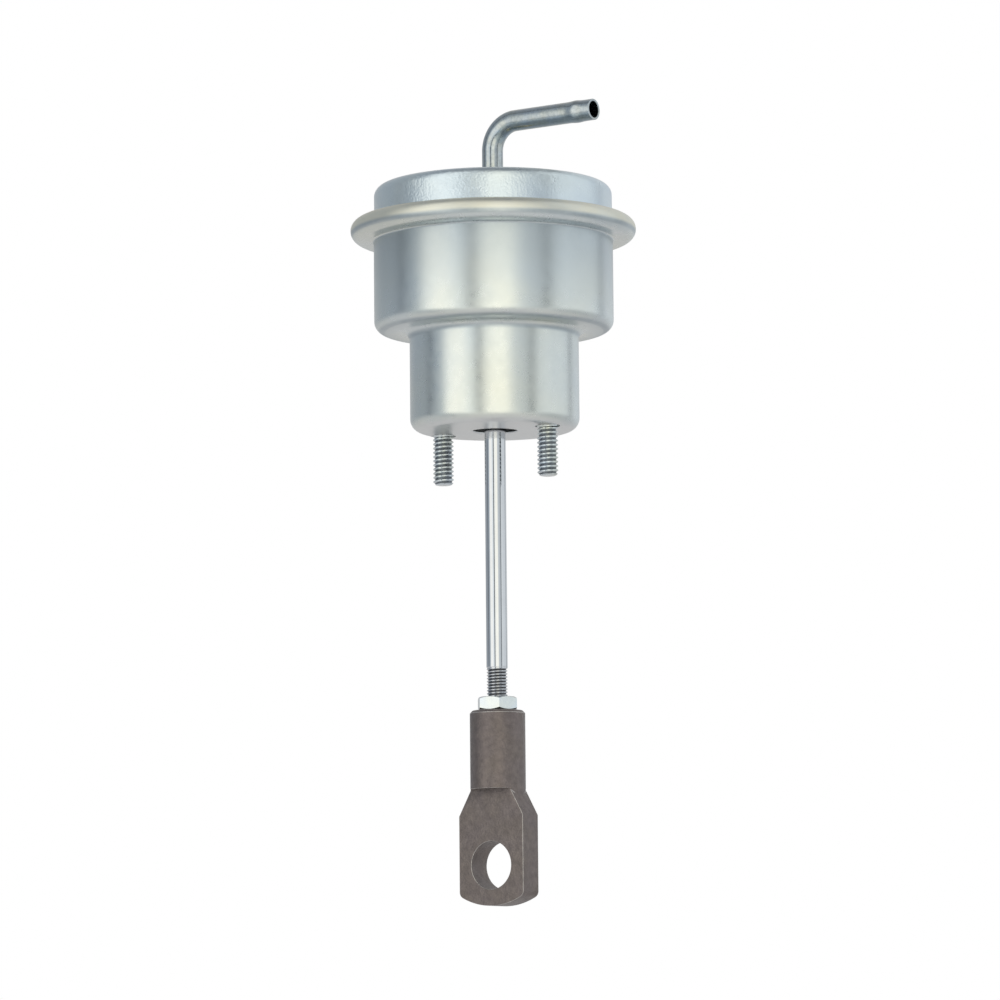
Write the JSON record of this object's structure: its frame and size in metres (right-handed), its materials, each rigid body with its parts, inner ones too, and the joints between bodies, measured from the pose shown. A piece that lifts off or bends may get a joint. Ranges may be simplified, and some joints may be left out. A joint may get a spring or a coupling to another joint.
{
  "type": "turbo actuator",
  "caption": "Diaphragm wastegate actuator: stepped sheet-steel can with a bent hose pipe, mounting studs and a spring-loaded rod that ends in a threaded eye block.",
  "frame": {"origin": "centre of the can's mounting face, midway between the studs, on the rod's axis", "axes": "+Z from the mounting face towards the hose cover; +X along the line of the studs, the way the hose pipe points; +Y along the axis of the eye"},
  "size_m": [0.086, 0.086, 0.2391],
  "materials": {
    "zinc_can": "satin zinc plate with a faint yellow and blue passivate",
    "zinc_cover": "satin zinc plate, finely pebbled",
    "zinc_pipe": "semi-bright zinc plate",
    "braze": "plated braze fillet",
    "plain_steel": "pressed steel, lightly oiled",
    "turned_steel": "turned steel",
    "bright_zinc": "bright zinc plate",
    "spring_steel": "oil-tempered wire",
    "diaphragm_rubber": "fabric-reinforced rubber",
    "seal_rubber": "smooth rubber",
    "polished_rod": "polished steel",
    "phosphate_steel": "matt phosphate coat"
  },
  "bodies": {
    "can": {"lower_can": "zinc_can", "upper_cover": "zinc_cover", "hose_pipe": "zinc_pipe", "pipe_braze": "braze", "stud_plate": "plain_steel", "mounting_stud_1": "bright_zinc", "mounting_stud_2": "bright_zinc", "spring_seat": "plain_steel", "return_spring": "spring_steel", "diaphragm": "diaphragm_rubber"},
    "piston_set": {"piston": "plain_steel", "spring_guide": "plain_steel", "diaphragm_retainer": "plain_steel", "rivet_washer": "plain_steel", "rod_socket": "turned_steel", "socket_plug": "turned_steel", "plug_seal": "seal_rubber"},
    "rod": {"rod": "polished_rod"},
    "lock_nut": {"lock_nut": "bright_zinc"},
    "rod_end": {"rod_end": "phosphate_steel"}
  },
  "joints": [
    {"name": "rod_stroke", "type": "slide", "parent": "can", "child": "piston_set", "axis": [0, 0, -1], "range_m": [0, 0.012], "stiffness_N_per_m": 6000, "springref_m": -0.035, "deforming": ["return_spring", "diaphragm"]},
    {"name": "rod_swing", "type": "hinge", "parent": "piston_set", "child": "rod", "pos_m": [0, 0, 0.057], "axis": [0, 1, 0], "range_deg": [-3, 3]},
    {"name": "lock_nut_turn", "type": "hinge", "parent": "rod", "child": "lock_nut", "pos_m": [0, 0, -0.0818], "axis": [0, 0, 1], "continuous": true},
    {"name": "rod_end_turn", "type": "hinge", "parent": "rod", "child": "rod_end", "pos_m": [0, 0, -0.1], "axis": [0, 0, 1], "continuous": true}
  ]
}
